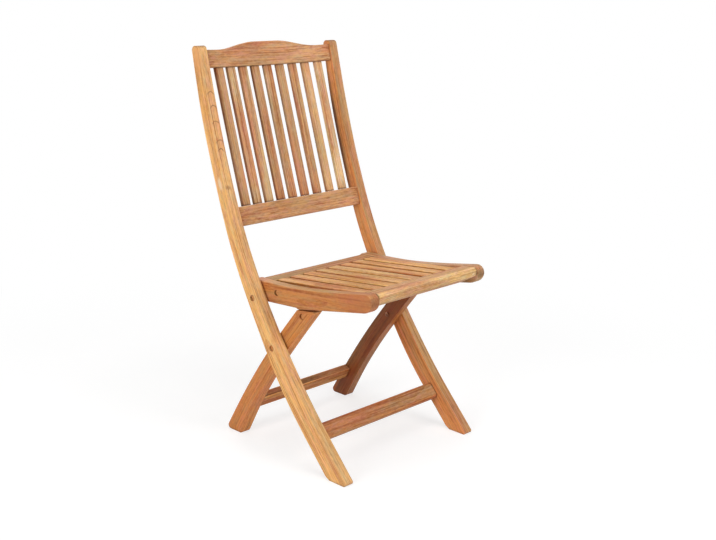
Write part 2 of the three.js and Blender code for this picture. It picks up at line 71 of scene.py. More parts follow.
# Floor, which fades to plain white where the backdrop starts
FLOOR_SIZE = 8.0
FLOOR_NEAR = 0.55
FLOOR_FAR = 1.5
FLOOR_BOUNCE = (0.74, 0.73, 0.72, 1)
FLOOR_PAINT = (0.4, 0.4, 0.4, 1)
FLOOR_GLOW = 0.68

# How far the maker eased the edges of each kind of board, of the bores and of the metal
POST_EASE = 4.0 * MM
LEG_EASE = 4.0 * MM
RAIL_EASE = 4.5 * MM
BACK_RAIL_EASE = 2.5 * MM
SLAT_EASE = 1.6 * MM
SEAT_SLAT_EASE = 2.2 * MM
CROSS_RAIL_EASE = 1.2 * MM
STRETCHER_EASE = 2.0 * MM
BORE_EASE = 0.6 * MM
LINK_EASE = 0.6 * MM
METAL_EASE = 0.35 * MM
WASHER_EASE = 0.5 * MM
EASE_SEGMENTS = 4
RIM_SEGMENTS = 2

# Angles at which an edge is sharp, two faces are one, and shading stays smooth
SHARP_ANGLE = math.radians(30)
FLAT_ANGLE = math.radians(0.05)
SMOOTH_ANGLE = math.radians(40)

# Points this close are one, and a face turned this much along an axis is an end
WELD = 0.001 * MM
END_FACING = 0.95

# Reach of a bore around its axis, the painted shade on its walls, and the least wear of an eased
# edge
BORE_REACH = 8.5 * MM
PAINTED_BORE_SHADE = 2.2
LEAST_WEAR = 0.3

# Cuts across a bent board, which start and stop a little way in from its ends
LEVEL_COUNT = 40
LEVEL_MARGIN = 1.0 * MM

# How far the maker planed the rail noses thinner and back, and trimmed the heels of the posts.
# The planing runs out over the last share of its reach.
NOSE_REACH = 60 * MM
NOSE_RISE = 3.2 * MM
NOSE_SETBACK = 3.0 * MM
NOSE_RUN_OUT = 0.25
HEEL_TRIM = 2.4 * MM
HEEL_FACING = Vector((0, 0.5, -0.87))

# Turned pieces: steps around them and over a crown
TURN_STEPS = 40
CROWN_STEPS = 4

# Plugs, with how far the CAD ones and the finished ones lie below the wood's face
CAD_PLUG_SUNK = 1.6 * MM
PLUG_SUNK = 4.4 * MM
PLUG_CROWN = 0.3 * MM
PLUG_CHAMFER = 1.0 * MM

# Bolts. The dome's points are shares of its radius and of its rise.
SHANK_RADIUS = 4.0 * MM
HEAD_THICKNESS = 4 * MM
DOME_RADIUS = 5.5 * MM
DOME_RISE = 0.9 * MM
DOME_THICKNESS = 3 * MM
DOME_POINTS = ((0.6, 0.15), (0.85, 0.5))
RECESS_RADIUS = 2.3 * MM
RECESS_DEPTH = 1.6 * MM
RECESS_LIP = 0.1 * MM

# Washers and pins
WASHER_BORE = 4.4 * MM
PIN_RADIUS = 3 * MM
PIN_HEAD = 2 * MM
PIN_CROWN = 0.5 * MM

HANDS = ("right", "left")
BACK_SLATS = [f"back_slat_{i}" for i in range(1, 10)]
SEAT_SLATS = [f"seat_slat_{i}" for i in range(1, 9)]

BODY_OF = {
    node: body
    for body, nodes in frame["record"]["behaviour"]["bodies"].items()
    for node in nodes
}

# Each kind of board: the axis along which its ends meet a neighbour, the axis along which
# its end grain shows, and the axis that its side faces look along
BOARD_KINDS = {
    "bent": (None, 2, 0),
    "free": (None, None, 0),
    "cross": (0, 0, 2),
    "lying": (1, 1, 0),
    "standing": (2, 2, 0),
}


def aim(yaw, pitch, roll):
    """The camera's turn: yaw from +Y toward +X, pitch up, and roll about the line of sight."""
    forward = Vector((
        math.sin(yaw) * math.cos(pitch), math.cos(yaw) * math.cos(pitch), math.sin(pitch)))
    level = Vector((math.cos(yaw), -math.sin(yaw), 0))
    up = level.cross(forward)
    right = math.cos(roll) * level + math.sin(roll) * up
    top = math.cos(roll) * up - math.sin(roll) * level
    return Matrix((right, top, -forward)).transposed()


def make_camera():
    camera = bpy.data.objects.new("camera", bpy.data.cameras.new("camera"))
    camera.data.lens = CAMERA_LENS
    camera.data.sensor_width = CAMERA_SENSOR
    turn = aim(CAMERA_YAW, CAMERA_PITCH, CAMERA_ROLL).to_4x4()
    camera.matrix_world = Matrix.Translation(CAMERA_PLACE) @ turn
    bpy.context.scene.collection.objects.link(camera)
    bpy.context.scene.camera = camera


class Graph:
    """Adds nodes to a node tree. An input is a value, or the socket that feeds it."""

    def __init__(self, tree):
        self.tree = tree

    def add(self, kind, inputs=None, **settings):
        node = self.tree.nodes.new(kind)
        for name, value in settings.items():
            setattr(node, name, value)
        for key, value in (inputs or {}).items():
            if isinstance(value, bpy.types.NodeSocket):
                self.tree.links.new(value, node.inputs[key])
            else:
                node.inputs[key].default_value = value
        return node

    def math(self, operation, *values):
        node = self.add("ShaderNodeMath", dict(enumerate(values)), operation=operation)
        return node.outputs[0]

    def times(self, first, second):
        return self.math("MULTIPLY", first, second)

    def minus(self, first, second):
        return self.math("SUBTRACT", first, second)

    def total(self, *values):
        """The sum of any number of values."""
        result = values[0]
        for value in values[1:]:
            result = self.math("ADD", result, value)
        return result

    def vector(self, operation, *values):
        node = self.add("ShaderNodeVectorMath", dict(enumerate(values)), operation=operation)
        return node.outputs["Value" if operation == "LENGTH" else "Vector"]

    def split(self, vector):
        parts = self.add("ShaderNodeSeparateXYZ", {"Vector": vector}).outputs
        return parts["X"], parts["Y"], parts["Z"]

    def noise(self, place, scale, detail=2.0, roughness=0.5, output="Fac"):
        """Noise on a place stretched by a scale along each axis."""
        stretched = self.vector("MULTIPLY", place, scale)
        inputs = {"Vector": stretched, "Scale": 1.0, "Detail": detail, "Roughness": roughness}
        return self.add("ShaderNodeTexNoise", inputs).outputs[output]

    def shift(self, place, scale, amount, detail=2.0):
        """A random shift that wanders from place to place, of half an amount either way."""
        color = self.noise(place, scale, detail, output="Color")
        return self.vector("MULTIPLY", self.vector("SUBTRACT", color, (0.5, 0.5, 0.5)), amount)

    def ramp(self, value, low, high):
        """0 below one value, 1 above another, and smooth between them."""
        inputs = {"Value": value, "From Min": low, "From Max": high}
        node = self.add("ShaderNodeMapRange", inputs, interpolation_type="SMOOTHSTEP")
        return node.outputs["Result"]

    def fade(self, value, low, high):
        """1 below one value, 0 above another, and smooth between them."""
        return self.minus(1.0, self.ramp(value, low, high))

    def held(self, value):
        """A value kept between 0 and 1."""
        return self.math("MINIMUM", self.math("MAXIMUM", value, 0.0), 1.0)

    def mix(self, factor, first, second, blend="MIX"):
        inputs = {0: factor, 6: first, 7: second}
        node = self.add("ShaderNodeMix", inputs, data_type="RGBA", blend_type=blend)
        return node.outputs[2]

    def stored(self, name, output):
        """An attribute that is stored on the piece's own vertices."""
        return self.add("ShaderNodeAttribute", attribute_name=name).outputs[output]


def linear(red, green, blue):
    """A colour as written in 0 to 255 steps, made linear for a shader."""
    steps = (red / 255, green / 255, blue / 255)
    return (*(s / 12.92 if s < 0.04045 else ((s + 0.055) / 1.055) ** 2.4 for s in steps), 1.0)


# The grain darkens a wood by these shares on average, so its light parts start lighter.
GRAIN_LIFT = (1.14, 1.30, 1.38)
LIGHTEST = 0.94


def wood_tone(tone):
    """The light parts of a wood whose average is a tone written in 0 to 255 steps."""
    lifted = [min(c * lift, LIGHTEST) for c, lift in zip(linear(*tone), GRAIN_LIFT)]
    return (*lifted, 1.0)


# Fixed tones of teak, and of its worn, lit edges and its painted shade
DARK_WOOD = linear(190, 150, 118)
OLIVE = linear(150, 132, 84)
PORE = linear(84, 50, 26)
WORN_AND_LIT = linear(236, 204, 160)
PAINTED_SHADE = linear(66, 36, 20)
KNOT_HALO = linear(196, 128, 82)
KNOT_LINE = linear(116, 66, 34)
PLUG_LIGHT = linear(228, 160, 98)
PLUG_DARK = linear(150, 92, 50)

# The hue turns a little from place to place, to orange, pink or green
ORANGE_TURN = (1.05, 0.985, 0.78, 1)
PINK_TURN = (1.05, 0.94, 1.06, 1)
GREEN_TURN = (0.945, 1.02, 1.05, 1)

# Growth rings, in metres: where their heart lies beside the board, their width, how far they
# wander, and how little they change along the grain. The edge is how sharply each one ends.
HEART = (0, 0.01, -0.06)
RING_WIDTH = 0.006
RING_WANDER = (0, 0.016, 0.016)
RING_STRETCH = (0.04, 1, 1)
RING_EDGE = 2.2

# Scales of the grain's noise: along the grain, then across it both ways
WANDER_SCALE = (3.5, 14, 14)
BAND_SCALE = (2.6, 130, 130)
FIBRE_SCALE = (9, 380, 380)
FLECK_SCALE = (80, 260, 260)
HUE_SCALE = (5, 26, 26)
PLUG_TONE_SCALE = (60, 90, 300)
PLUG_RING_SCALE = (4, 70, 30)
TOOL_MARK_SCALE = (3200, 900, 900)

# Figures that come and go: scale and detail of their noise, and the values between which
# they come in
FIGURES = {
    "pores": ((110, 2400, 2400), 1, 0.60, 0.70),
    "patch": ((7, 40, 40), 3, 0.35, 0.68),
    "streak": ((2.0, 240, 240), 2, 0.56, 0.68),
    "turn": ((16, 90, 90), 1, 0.42, 0.58),
    "mottle": ((45, 150, 150), 2, 0.36, 0.64),
    "plug pores": ((900, 1500, 1500), 1, 0.58, 0.68),
    "dull patch": ((140, 140, 140), 3, 0.35, 0.7),
}
BLUSH_RANGE = (0.44, 0.64)
OLIVE_RANGE = (0.48, 0.66)

# How much each part of the grain darkens the wood
PATCH_SHADE = 0.25
BAND_SHADE = 2.0
FIBRE_SHADE = 1.5
FLECK_SHADE = 1.1
END_SHADE = 0.3

# How much of their tone pores, worn and lit edges and painted shade give, and how far a
# joint's painted shade reaches
PORE_SHARE = 0.3
WORN_AND_LIT_SHARE = 0.22
PAINTED_SHADE_SHARE = 0.25
JOINT_REACH = 5 * MM

# Roughness of plain wood, and what fibres, end grain and joints add to it
WOOD_ROUGH = 0.46
FIBRE_ROUGH = 0.16
END_ROUGH = 0.15
JOINT_ROUGH = 0.1

# Height of fibres, pores and rings, then strength and depth of each material's relief
FIBRE_HEIGHT = 0.6
PORE_HEIGHT = 0.5
RING_HEIGHT = 0.3
WOOD_RELIEF = (0.35, 0.25 * MM)
PLUG_RELIEF = (0.4, 0.2 * MM)
METAL_RELIEF = (0.25, 0.05 * MM)
WOOD_GLOSS = 0.35

# End grain of a plug: rings, the tone where it starts to darken, pores, and a rim of painted
# shade where its face turns away from the plug's axis
PLUG_RINGS = 9.0
PLUG_RING_SHADE = 0.4
PLUG_TONE_START = 0.35
PLUG_PORE_SHARE = 0.5
PLUG_RIM_RANGE = (0.80, 0.97)
PLUG_RIM_SHARE = 0.6
PLUG_ROUGH = 0.5
PLUG_PORE_ROUGH = 0.3

# Metal, and what the tool marks change in its roughness
METALLIC = 0.95
TOOL_MARK_ROUGH = 0.12

# Knots and patches: scale of their ragged outline, and how far it strays in metres.
# A knot's depth in the board counts for less than its height and width. The other measures
# are shares of the mark's own size.
KNOT_RAG_SCALE = (120, 160, 160)
KNOT_RAG = (0.003, 0.004, 0.004)
KNOT_SHAPE = (1, 0.35, 1)
KNOT_LINE_WIDTH = 0.3
KNOT_OPENING = (-0.1, 0.6)
KNOT_HALO_RANGE = (0.3, 1.6)
KNOT_HALO_SHARE = 0.25
PATCH_RAG_SCALE = (60, 300, 300)
PATCH_RAG = (0.014, 0.008, 0.008)
PATCH_RANGE = (0.3, 1.0)
MARK_INPUTS = [
    ("Color", "NodeSocketColor", (0.5, 0.3, 0.15, 1)),
    ("Centre", "NodeSocketVector", (0, 0, 0)),
    ("Size", "NodeSocketVector", (0.01, 0.01, 0.01)),
    ("Depth", "NodeSocketFloat", 0.7),
]
MARK_OUTPUTS = [("Color", "NodeSocketColor")]


def new_group(name, inputs, outputs):
    group = bpy.data.node_groups.new(name, "ShaderNodeTree")
    for socket, kind, value in inputs:
        made = group.interface.new_socket(socket, in_out="INPUT", socket_type=kind)
        made.default_value = value
    for socket, kind in outputs:
        group.interface.new_socket(socket, in_out="OUTPUT", socket_type=kind)
    graph = Graph(group)
    return group, graph, graph.add("NodeGroupInput").outputs, graph.add("NodeGroupOutput").inputs


def figure(graph, place, name):
    """Where one of the figures lies: 1 inside it, and 0 away from it."""
    scale, detail, low, high = FIGURES[name]
    return graph.ramp(graph.noise(place, scale, detail), low, high)


def make_teak_group():
    """Teak along a piece's own grain: growth rings, bands, fibres, pores, patches and streaks."""
    inputs = [
        ("Wood", "NodeSocketColor", (0.5, 0.3, 0.15, 1)),
        ("Side wood", "NodeSocketColor", (0.5, 0.3, 0.15, 1)),
        ("Blush", "NodeSocketColor", (0.5, 0.2, 0.1, 1)),
        ("Start", "NodeSocketVector", (0, 0, 0)),
        ("Rings", "NodeSocketFloat", 0.4),
        ("Bands", "NodeSocketFloat", 0.5),
        ("Streaks", "NodeSocketFloat", 0.5),
        ("Blush share", "NodeSocketFloat", 0.4),
        ("Olive share", "NodeSocketFloat", 0.25),
        ("Joint shade", "NodeSocketFloat", 0.4),
    ]
    outputs = [
        ("Color", "NodeSocketColor"),
        ("Roughness", "NodeSocketFloat"),
        ("Height", "NodeSocketFloat"),
    ]
    group, graph, given, made = new_group("teak", inputs, outputs)
    grain = graph.stored("grain", "Vector")
    ends = graph.stored("end_grain", "Fac")
    side = graph.stored("side_face", "Fac")
    # Edge wear with a painted highlight, and painted shade on lower edges and bore walls
    worn_and_lit, painted_edge_shade, _ = graph.split(graph.stored("edge", "Vector"))
    from_low, from_high, _ = graph.split(graph.stored("reach", "Vector"))
    place = graph.vector("ADD", grain, given["Start"])

    # Growth rings
    swayed = graph.vector("ADD", grain, graph.shift(place, WANDER_SCALE, RING_WANDER))
    across = graph.vector("MULTIPLY", swayed, RING_STRETCH)
    from_heart = graph.vector("LENGTH", graph.vector("SUBTRACT", across, HEART))
    turns = graph.math("DIVIDE", from_heart, RING_WIDTH)
    ring = graph.math("POWER", graph.math("FRACT", turns), RING_EDGE)
    ring = graph.times(ring, given["Rings"])

    # Light and dark along the grain
    band = graph.times(graph.minus(graph.noise(place, BAND_SCALE), 0.5), given["Bands"])
    fibre = graph.noise(place, FIBRE_SCALE, 3, 0.65)
    fleck = graph.minus(graph.noise(place, FLECK_SCALE, 2, 0.6), 0.5)
    pores = figure(graph, place, "pores")
    streak = graph.times(figure(graph, place, "streak"), given["Streaks"])
    dark = graph.total(
        graph.times(figure(graph, place, "patch"), PATCH_SHADE),
        ring,
        graph.times(band, BAND_SHADE),
        graph.times(graph.minus(fibre, 0.5), FIBRE_SHADE),
        graph.times(fleck, FLECK_SHADE),
        streak,
        graph.times(ends, END_SHADE),
    )

    # Colour, from the board's own tone to what lies on it
    hue = graph.noise(place, HUE_SCALE, output="Color")
    hues = graph.add("ShaderNodeSeparateColor", {"Color": hue}).outputs
    blush = graph.times(graph.ramp(hues["Green"], *BLUSH_RANGE), given["Blush share"])
    olive = graph.times(graph.ramp(hues["Blue"], *OLIVE_RANGE), given["Olive share"])
    # Side faces take their own tone; on the rear stretcher and the left rear leg it holds painted
    # shade
    color = graph.mix(side, given["Wood"], given["Side wood"])
    color = graph.mix(blush, color, given["Blush"])
    color = graph.mix(olive, color, OLIVE)
    turned = graph.mix(figure(graph, place, "turn"), PINK_TURN, GREEN_TURN)
    turned = graph.mix(figure(graph, place, "mottle"), ORANGE_TURN, turned)
    color = graph.mix(1.0, color, turned, blend="MULTIPLY")
    shade = graph.mix(1.0, color, DARK_WOOD, blend="MULTIPLY")
    color = graph.mix(graph.held(dark), color, shade)
    color = graph.mix(graph.times(pores, PORE_SHARE), color, PORE)
    # Painted highlight on worn upper edges, painted shade on lower edges and in the bores
    color = graph.mix(graph.times(worn_and_lit, WORN_AND_LIT_SHARE), color, WORN_AND_LIT)
    color = graph.mix(graph.times(painted_edge_shade, PAINTED_SHADE_SHARE), color, PAINTED_SHADE)
    # Painted shade near both ends of a board, where it meets its neighbours
    joint = graph.fade(graph.math("MINIMUM", from_low, from_high), 0.0, JOINT_REACH)
    color = graph.mix(graph.times(joint, given["Joint shade"]), color, PAINTED_SHADE)
    graph.tree.links.new(color, made["Color"])

    rough = graph.total(
        WOOD_ROUGH,
        graph.times(fibre, FIBRE_ROUGH),
        graph.times(ends, END_ROUGH),
        graph.times(joint, JOINT_ROUGH),
    )
    graph.tree.links.new(rough, made["Roughness"])
    height = graph.minus(graph.times(fibre, FIBRE_HEIGHT), graph.times(pores, PORE_HEIGHT))
    height = graph.minus(height, graph.times(ring, RING_HEIGHT))
    graph.tree.links.new(height, made["Height"])
    return group


def from_centre(graph, given, scale, stray, detail=2.0):
    """How far a place lies from a mark's centre, in shares of the mark's size, made ragged."""
    grain = graph.stored("grain", "Vector")
    ragged = graph.vector("ADD", grain, graph.shift(grain, scale, stray, detail))
    offset = graph.vector("SUBTRACT", ragged, given["Centre"])
    return graph.vector("DIVIDE", offset, given["Size"])


def make_knot_group():
    """A small knot cut across: a thin brown arc open to the bottom, in a faint blush."""
    group, graph, given, made = new_group("knot", MARK_INPUTS, MARK_OUTPUTS)
    offset = from_centre(graph, given, KNOT_RAG_SCALE, KNOT_RAG)
    up, _, _ = graph.split(offset)
    away = graph.vector("LENGTH", graph.vector("MULTIPLY", offset, KNOT_SHAPE))
    from_line = graph.math("ABSOLUTE", graph.minus(away, 1.0))
    line = graph.fade(from_line, 0.0, KNOT_LINE_WIDTH)
    upper = graph.ramp(up, *KNOT_OPENING)
    arc = graph.times(graph.times(line, upper), given["Depth"])
    halo = graph.times(graph.fade(away, *KNOT_HALO_RANGE), KNOT_HALO_SHARE)
    color = graph.mix(halo, given["Color"], KNOT_HALO)
    graph.tree.links.new(graph.mix(arc, color, KNOT_LINE), made["Color"])
    return group


def make_patch_group():
    """A ragged patch of another tone, such as a pale scuff, a red streak, a dark mark or a
    painted shadow.
    """
    inputs = MARK_INPUTS + [("Tone", "NodeSocketColor", (0.5, 0.3, 0.15, 1))]
    group, graph, given, made = new_group("patch", inputs, MARK_OUTPUTS)
    away = graph.vector("LENGTH", from_centre(graph, given, PATCH_RAG_SCALE, PATCH_RAG, 3))
    share = graph.times(graph.fade(away, *PATCH_RANGE), given["Depth"])
    graph.tree.links.new(graph.mix(share, given["Color"], given["Tone"]), made["Color"])
    return group


TEAK = make_teak_group()
KNOT = make_knot_group()
PATCH = make_patch_group()


def add_marks(graph, color, knots, patches):
    """Lays a piece's knots and patches over its grain."""
    marks = [
        (KNOT, {"Centre": centre, "Size": size, "Depth": depth})
        for centre, size, depth in knots
    ]
    marks += [
        (PATCH, {"Tone": linear(*tone), "Centre": centre, "Size": size, "Depth": depth})
        for tone, centre, size, depth in patches
    ]
    for group, inputs in marks:
        inputs["Color"] = color
        color = graph.add("ShaderNodeGroup", inputs, node_tree=group).outputs["Color"]
    return color


def new_material(name):
    """A new material, with its graph and its shader."""
    material = bpy.data.materials.new(name)
    material.use_nodes = True
    return material, Graph(material.node_tree), material.node_tree.nodes["Principled BSDF"]


def dress(graph, shader, color, rough, height, relief):
    """Feeds a shader its colour, its roughness and a relief of some strength and depth."""
    strength, depth = relief
    inputs = {"Height": height, "Strength": strength, "Distance": depth}
    bump = graph.add("ShaderNodeBump", inputs)
    graph.tree.links.new(color, shader.inputs["Base Color"])
    graph.tree.links.new(rough, shader.inputs["Roughness"])
    graph.tree.links.new(bump.outputs["Normal"], shader.inputs["Normal"])


def teak(name, wood, side, start, knots=(), patches=(), blush=(206, 128, 88), **settings):
    """The material of one wooden piece. Colours are written in 0 to 255 steps."""
    material, graph, shader = new_material(name)
    shader.inputs["Specular IOR Level"].default_value = WOOD_GLOSS
    inputs = {"Wood": wood_tone(wood), "Side wood": wood_tone(side)}
    inputs.update({"Blush": linear(*blush), "Start": start})
    inputs.update({key.replace("_", " ").capitalize(): value for key, value in settings.items()})
    made = graph.add("ShaderNodeGroup", inputs, node_tree=TEAK).outputs
    color = add_marks(graph, made["Color"], knots, patches)
    dress(graph, shader, color, made["Roughness"], made["Height"], WOOD_RELIEF)
    return material


def plug_wood():
    """End grain of a turned teak plug: fine open pores and faint rings, oiled dark."""
    material, graph, shader = new_material("teak plug end grain")
    shader.inputs["Specular IOR Level"].default_value = WOOD_GLOSS
    place = graph.add("ShaderNodeTexCoord").outputs["Object"]
    pores = figure(graph, place, "plug pores")
    tone = graph.noise(place, PLUG_TONE_SCALE, 3)
    turns = graph.times(graph.noise(place, PLUG_RING_SCALE, 1), PLUG_RINGS)
    ring = graph.math("FRACT", turns)
    dark = graph.total(graph.times(ring, PLUG_RING_SHADE), graph.minus(tone, PLUG_TONE_START))
    color = graph.mix(graph.held(dark), PLUG_LIGHT, PLUG_DARK)
    color = graph.mix(graph.times(pores, PLUG_PORE_SHARE), color, PORE)
    # The plug's chamfered rim is darkened as painted shade in its recess
    facing, _, _ = graph.split(graph.add("ShaderNodeNewGeometry").outputs["True Normal"])
    rim = graph.fade(graph.math("ABSOLUTE", facing), *PLUG_RIM_RANGE)
    color = graph.mix(graph.times(rim, PLUG_RIM_SHARE), color, PAINTED_SHADE)
    rough = graph.total(PLUG_ROUGH, graph.times(pores, PLUG_PORE_ROUGH))
    dress(graph, shader, color, rough, graph.minus(tone, pores), PLUG_RELIEF)
    return material


def metal(name, bright, dull, low_rough, high_rough):
    """Plain metal with fine tool marks and dull, handled patches."""
    material, graph, shader = new_material(name)
    shader.inputs["Metallic"].default_value = METALLIC
    place = graph.add("ShaderNodeTexCoord").outputs["Object"]
    handled = figure(graph, place, "dull patch")
    marks = graph.noise(place, TOOL_MARK_SCALE, 1)
    color = graph.mix(handled, linear(*bright), linear(*dull))
    spread = graph.times(handled, high_rough - low_rough)
    marked = graph.times(graph.minus(marks, 0.5), TOOL_MARK_ROUGH)
    rough = graph.total(low_rough, spread, marked)
    dress(graph, shader, color, rough, marks, METAL_RELIEF)
    return material


def bare_copy(node):
    """A CAD node's mesh with its doubles merged and its flat faces made whole."""
    bm = bmesh.new()
    bm.from_mesh(frame["nodes"][node].data)
    bmesh.ops.remove_doubles(bm, verts=bm.verts, dist=WELD)
    bmesh.ops.dissolve_limit(bm, angle_limit=FLAT_ANGLE, verts=bm.verts, edges=bm.edges)
    return bm


def cut_through(bm, place, facing, **settings):
    """Cuts a whole board by a plane, and returns the vertices and edges of the cut."""
    whole = bm.verts[:] + bm.edges[:] + bm.faces[:]
    cut = bmesh.ops.bisect_plane(
        bm, geom=whole, dist=WELD, plane_co=place, plane_no=facing, **settings)
    return cut["geom_cut"]


def level_cuts(bm):
    """Cuts a bent board across at even heights, and returns the middle of its depth at each."""
    heights = [v.co.z for v in bm.verts]
    low = min(heights) + LEVEL_MARGIN
    high = max(heights) - LEVEL_MARGIN
    middles = []
    for i in range(LEVEL_COUNT + 1):
        height = low + (high - low) * i / LEVEL_COUNT
        cut = cut_through(bm, (0, 0, height), (0, 0, 1))
        depths = [part.co.y for part in cut if isinstance(part, bmesh.types.BMVert)]
        middles.append((height, (min(depths) + max(depths)) / 2))
    return middles


def bent_grain(middles):
    """Grain that follows a bent board: the way up, away from its middle line, and across."""
    def grain(point):
        below = max((m for m in middles if m[0] <= point.z), default=middles[0])
        above = min((m for m in middles if m[0] > point.z), default=middles[-1])
        share = (point.z - below[0]) / max(above[0] - below[0], WELD)
        share = min(max(share, 0), 1)
        middle = below[1] + (above[1] - below[1]) * share
        return Vector((point.z, point.y - middle, point.x))
    return grain


def cross_grain(point):
    """Grain that runs across the chair."""
    return Vector((point.x, point.z, point.y))


def side_grain(bm, axis):
    """Straight grain between the two ends of a board that lies along Y or stands along Z."""
    points = sorted((v.co.copy() for v in bm.verts), key=lambda p: p[axis])
    # A tenth of the points, and four at least, show where each end lies
    few = max(len(points) // 10, 4)
    low = sum(points[:few], Vector((0, 0, 0))) / few
    high = sum(points[-few:], Vector((0, 0, 0))) / few
    along = Vector((0, high.y - low.y, high.z - low.z)).normalized()
    square = Vector((0, along.z, -along.y))
    middle = Vector((sum(p.x for p in points) / len(points), low.y, low.z))

    def grain(point):
        offset = point - middle
        return Vector((offset.dot(along), offset.dot(square), offset.x))
    return grain


def side_place(node):
    """The middle of a CAD node in the side view."""
    low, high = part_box(node)
    return (low[1] + high[1]) / 2, (low[2] + high[2]) / 2


# The bored pivots in the side view, from the plugs that fill them
BORES = [
    side_place(f"plug_{pivot}_right")
    for pivot in ("seat", "crossing", "link_seat", "link_leg")
]


def at_bore(verts):
    """Whether the vertices all lie at one and the same bore."""
    return any(
        all(math.hypot(v.co.y - y, v.co.z - z) < BORE_REACH for v in verts)
        for y, z in BORES
    )


def at_end(faces, axis):
    """Whether one of the faces is an end along an axis. With no axis there is no end."""
    return axis is not None and any(abs(face.normal[axis]) > END_FACING for face in faces)


def below_faces(bm):
    """A measure of how deep a vertex lies below the nearer of a board's two side faces."""
    low = min(vert.co.x for vert in bm.verts)
    high = max(vert.co.x for vert in bm.verts)
    return lambda vert: min(vert.co.x - low, high - vert.co.x)


def sharp_edges(bm):
    return [e for e in bm.edges if len(e.link_faces) == 2 and e.calc_face_angle() > SHARP_ANGLE]


def arrises(bm, joint_axis, has_bores):
    """The sharp edges to ease. Bores and the ends that meet a neighbour stay sharp."""
    return [
        edge for edge in sharp_edges(bm)
        if not at_end(edge.link_faces, joint_axis) and not (has_bores and at_bore(edge.verts))
    ]


def bore_rims(bm):
    """The edges where a bore opens in a board's own face."""
    depth = below_faces(bm)
    return [
        edge for edge in sharp_edges(bm)
        if at_bore(edge.verts) and all(depth(vert) < WELD for vert in edge.verts)
    ]


def round_over(bm, edges, width, segments=EASE_SEGMENTS):
    """Rounds edges over, and returns the faces and vertices that this makes."""
    made = bmesh.ops.bevel(
        bm, geom=edges, offset=width, offset_type="OFFSET", segments=segments,
        profile=0.5, affect="EDGES", clamp_overlap=True, material=-1)
    bm.normal_update()
    return made


def ease(bm, edges, width):
    """Rounds a board's edges, and stores light wear on every edge, a painted highlight on edges
    that face up and painted shade on edges that face down.
    """
    edge_state = bm.verts.layers.float_vector.new("edge")
    made = round_over(bm, edges, width)
    strips = set(made["faces"])
    for vert in made["verts"]:
        if all(face in strips for face in vert.link_faces):
            # Upward edges get a painted highlight over their wear, and downward edges painted
            # shade
            wear_and_highlight = max(vert.normal.z, LEAST_WEAR)
            vert[edge_state] = Vector((wear_and_highlight, max(-vert.normal.z, 0), 0))


def paint_bore_shade(bm):
    """Stores painted shade on the walls of the bores, below their rims."""
    edge_state = bm.verts.layers.float_vector["edge"]
    depth = below_faces(bm)
    for vert in bm.verts:
        if at_bore([vert]) and depth(vert) > 2 * BORE_EASE:
            vert[edge_state] = Vector((0, PAINTED_BORE_SHADE, 0))


def write_grain(bm, grain, end_axis, side_axis):
    """Stores the grain's axes, the end grain, the side faces and the way to both ends."""
    along = bm.verts.layers.float_vector.new("grain")
    reach = bm.verts.layers.float_vector.new("reach")
    ends = bm.verts.layers.float.new("end_grain")
    sides = bm.verts.layers.float.new("side_face")
    places = [grain(vert.co) for vert in bm.verts]
    low = min(place.x for place in places)
    high = max(place.x for place in places)
    areas = {face: face.calc_area() for face in bm.faces}
    for vert, place in zip(bm.verts, places):
        widest = max(vert.link_faces, key=areas.get)
        vert[along] = place
        vert[reach] = Vector((place.x - low, high - place.x, 0))
        vert[ends] = float(at_end(vert.link_faces, end_axis))
        vert[sides] = abs(widest.normal[side_axis]) ** 2


def finish_piece(name, bm, material, nodes):
    """Turns a finished bmesh into a piece that stands for its nodes and rides with them."""
    mesh = bpy.data.meshes.new(name)
    bm.to_mesh(mesh)
    bm.free()
    mesh.polygons.foreach_set("use_smooth", [True] * len(mesh.polygons))
    mesh.set_sharp_from_angle(angle=SMOOTH_ANGLE)
    mesh.materials.append(material)
    piece = bpy.data.objects.new(name, mesh)
    bpy.context.scene.collection.objects.link(piece)
    weighted = piece.modifiers.new("weighted normals", "WEIGHTED_NORMAL")
    weighted.keep_sharp = True
    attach(piece, BODY_OF[nodes[0]])
    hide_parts(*nodes)


def plane_nose(bm):
    """Planes the underside of a rail's nose up and its front back, a few millimetres."""
    front = min(vert.co.y for vert in bm.verts)
    nose = [vert for vert in bm.verts if vert.co.y < front + NOSE_REACH]
    low = min(vert.co.z for vert in nose)
    high = max(vert.co.z for vert in nose)
    for vert in nose:
        share = 1 - (vert.co.y - front) / NOSE_REACH
        lower = (high - vert.co.z) / (high - low)
        vert.co.z += NOSE_RISE * lower * min(1, share / NOSE_RUN_OUT)
        vert.co.y += NOSE_SETBACK * share
    bm.normal_update()


def trim_heel(bm):
    """Cuts the low rear corner off a post's foot."""
    reach = max(vert.co.dot(HEEL_FACING) for vert in bm.verts) - HEEL_TRIM
    place = HEEL_FACING * reach / HEEL_FACING.length_squared
    cut = cut_through(bm, place, HEEL_FACING, clear_outer=True)
    bmesh.ops.holes_fill(bm, edges=[part for part in cut if isinstance(part, bmesh.types.BMEdge)])
    bm.normal_update()


def board(node, width, kind, material, has_bores=False, shape=None):
    """A wooden piece made from its CAD node, with eased edges and grain of its own."""
    joint_axis, end_axis, side_axis = BOARD_KINDS[kind]
    bm = bare_copy(node)
    if shape:
        shape(bm)
    if kind == "bent":
        grain = bent_grain(level_cuts(bm))
    elif kind == "cross":
        grain = cross_grain
    else:
        grain = side_grain(bm, 2 if kind == "standing" else 1)
    ease(bm, arrises(bm, joint_axis, has_bores), width)
    if has_bores:
        round_over(bm, bore_rims(bm), BORE_EASE, RIM_SEGMENTS)
        paint_bore_shade(bm)
    write_grain(bm, grain, end_axis, side_axis)
    finish_piece(f"{node}_wood", bm, material, [node])


